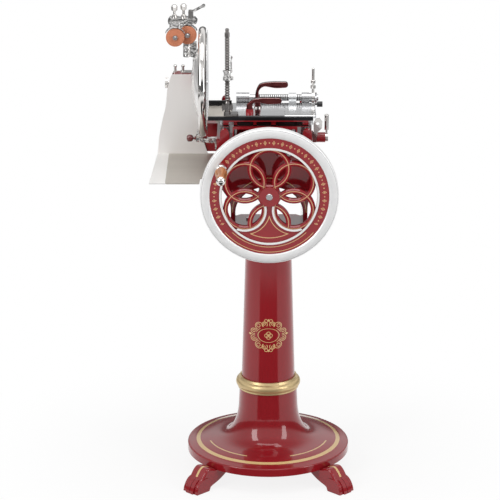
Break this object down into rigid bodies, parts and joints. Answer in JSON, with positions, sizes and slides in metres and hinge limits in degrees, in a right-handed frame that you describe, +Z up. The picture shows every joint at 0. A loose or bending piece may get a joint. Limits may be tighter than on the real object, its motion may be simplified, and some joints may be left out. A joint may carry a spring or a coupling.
{
  "type": "hand crank meat slicer",
  "caption": "Floor-standing flywheel meat slicer: upright round blade, sliding carriage with feed table, stone sharpener, pierced crank wheel, cast pedestal on claw feet.",
  "frame": {"origin": "floor level, middle of the whole footprint", "axes": "+Z up; +Y away from the operator, along the flywheel's shaft and the carriage's travel; +X to the operator's right, along the blade's axis"},
  "size_m": [0.6271, 0.748, 1.494],
  "materials": {
    "red_enamel": "deep red gloss enamel",
    "wheel_enamel": "deep red gloss enamel with a polished rim and light beads",
    "polished_steel": "polished plate",
    "steel": "ground",
    "dark_steel": "blackened, oiled",
    "brass": "satin gold",
    "bronze": "machined",
    "wood": "turned and oiled",
    "stone": "bonded abrasive",
    "black_plastic": "moulded, knurled",
    "red_knob": "dark red ball"
  },
  "bodies": {
    "stand": {"pedestal_base": "red_enamel", "claw_foot_1": "red_enamel", "claw_foot_2": "red_enamel", "claw_foot_3": "red_enamel", "pedestal_column": "red_enamel", "collar_ring": "brass", "bed_plate": "red_enamel", "bed_bolts": "steel", "machine_frame": "red_enamel", "shaft_bushes": "bronze", "blade_arm": "red_enamel", "blade_cover": "polished_steel", "blade_guard": "polished_steel", "guard_bracket": "polished_steel", "guard_knob": "red_knob", "deflector_plate": "polished_steel", "slice_tray": "polished_steel", "plate_pins": "polished_steel", "plate_knob": "polished_steel", "guide_rods": "polished_steel", "rear_bridge": "red_enamel", "sharpener_bracket": "polished_steel", "regulator_boss": "red_enamel", "regulator_dial": "polished_steel"},
    "wheel": {"flywheel": "wheel_enamel", "main_shaft": "steel", "drive_gear": "steel", "crank_pin": "polished_steel", "grip_cap": "polished_steel"},
    "grip": {"crank_grip": "wood"},
    "lay_gear": {"lay_shaft": "steel"},
    "blade_disc": {"blade": "polished_steel", "blade_shaft": "steel", "blade_screws": "steel"},
    "carriage": {"carriage": "steel", "carriage_apron": "red_enamel", "end_plate": "polished_steel", "end_bars": "dark_steel"},
    "table": {"meat_table": "polished_steel", "press_post": "polished_steel", "handle_pillars": "red_enamel"},
    "feed_screw": {"feed_screw": "steel", "ratchet_wheel": "steel"},
    "clamp_knob": {"clamp_knob": "black_plastic"},
    "feed_lever": {"feed_lever": "polished_steel"},
    "press_slide": {"press_slide": "polished_steel"},
    "handle_front": {"press_handle_front": "polished_steel"},
    "handle_back": {"press_handle_back": "polished_steel"},
    "sharpener": {"sharpener_head": "polished_steel", "head_knobs": "polished_steel", "lever_fork": "polished_steel"},
    "stone_left": {"stone_spindle_left": "steel", "sharpening_stone_left": "stone"},
    "stone_right": {"stone_spindle_right": "steel", "sharpening_stone_right": "stone"},
    "sharpener_lever": {"sharpener_lever": "polished_steel"},
    "regulator": {"regulator_lever": "polished_steel"}
  },
  "joints": [
    {"name": "wheel_spin", "type": "hinge", "parent": "stand", "child": "wheel", "pos_m": [0.04544, 0.025, 0.964], "axis": [0, 1, 0], "continuous": true},
    {"name": "grip_spin", "type": "hinge", "parent": "wheel", "child": "grip", "pos_m": [-0.09832, 0.025, 1.047], "axis": [0, 1, 0], "continuous": true},
    {"name": "lay_spin", "type": "hinge", "parent": "stand", "child": "lay_gear", "pos_m": [0.00415, 0.025, 1.02298], "axis": [0, 1, 0], "continuous": true},
    {"name": "blade_spin", "type": "hinge", "parent": "stand", "child": "blade_disc", "pos_m": [0.04544, 0.045, 1.252], "axis": [1, 0, 0], "continuous": true},
    {"name": "carriage_slide", "type": "slide", "parent": "stand", "child": "carriage", "axis": [0, 1, 0], "range_m": [-0.02, 0.17]},
    {"name": "table_feed", "type": "slide", "parent": "carriage", "child": "table", "axis": [1, 0, 0], "range_m": [-0.036, 0]},
    {"name": "screw_turn", "type": "hinge", "parent": "carriage", "child": "feed_screw", "pos_m": [0.04544, 0.063, 1.198], "axis": [1, 0, 0], "range_deg": [-2165, 5]},
    {"name": "feed_lever_swing", "type": "hinge", "parent": "carriage", "child": "feed_lever", "pos_m": [0.04544, 0.063, 1.198], "axis": [1, 0, 0], "range_deg": [-25, 25]},
    {"name": "press_height", "type": "slide", "parent": "table", "child": "press_slide", "axis": [0, 0, 1], "range_m": [-0.06, 0.075]},
    {"name": "clamp_knob_turn", "type": "hinge", "parent": "carriage", "child": "clamp_knob", "pos_m": [0.04544, 0.052, 1.18], "axis": [1, 0, 0], "range_deg": [0, 270]},
    {"name": "front_handle_swing", "type": "hinge", "parent": "table", "child": "handle_front", "pos_m": [-0.01356, -0.103, 1.203], "axis": [0, 0, 1], "range_deg": [0, 45]},
    {"name": "back_handle_swing", "type": "hinge", "parent": "table", "child": "handle_back", "pos_m": [0.01144, -0.019, 1.191], "axis": [0, 0, 1], "range_deg": [0, 60]},
    {"name": "sharpener_lift", "type": "slide", "parent": "stand", "child": "sharpener", "axis": [0, 0, 1], "range_m": [0, 0.03]},
    {"name": "left_stone_spin", "type": "hinge", "parent": "sharpener", "child": "stone_left", "pos_m": [-0.23956, 0.025, 1.4], "axis": [0, 1, 0], "continuous": true},
    {"name": "right_stone_spin", "type": "hinge", "parent": "sharpener", "child": "stone_right", "pos_m": [-0.20256, 0.025, 1.403], "axis": [0, 1, 0], "continuous": true},
    {"name": "sharpener_lever_swing", "type": "hinge", "parent": "sharpener", "child": "sharpener_lever", "pos_m": [-0.19256, 0.045, 1.468], "axis": [0, 1, 0], "range_deg": [-20, 15]},
    {"name": "regulator_swing", "type": "hinge", "parent": "stand", "child": "regulator", "pos_m": [0.04544, -0.035, 1.097], "axis": [1, 0, 0], "range_deg": [-50, 50]}
  ],
  "couplings": [
    {"joint": "lay_spin", "follows": "wheel_spin", "ratio": -2},
    {"joint": "blade_spin", "follows": "wheel_spin", "ratio": 2.8},
    {"joint": "screw_turn", "follows": "table_feed", "rad_per_m": 1047.2}
  ]
}
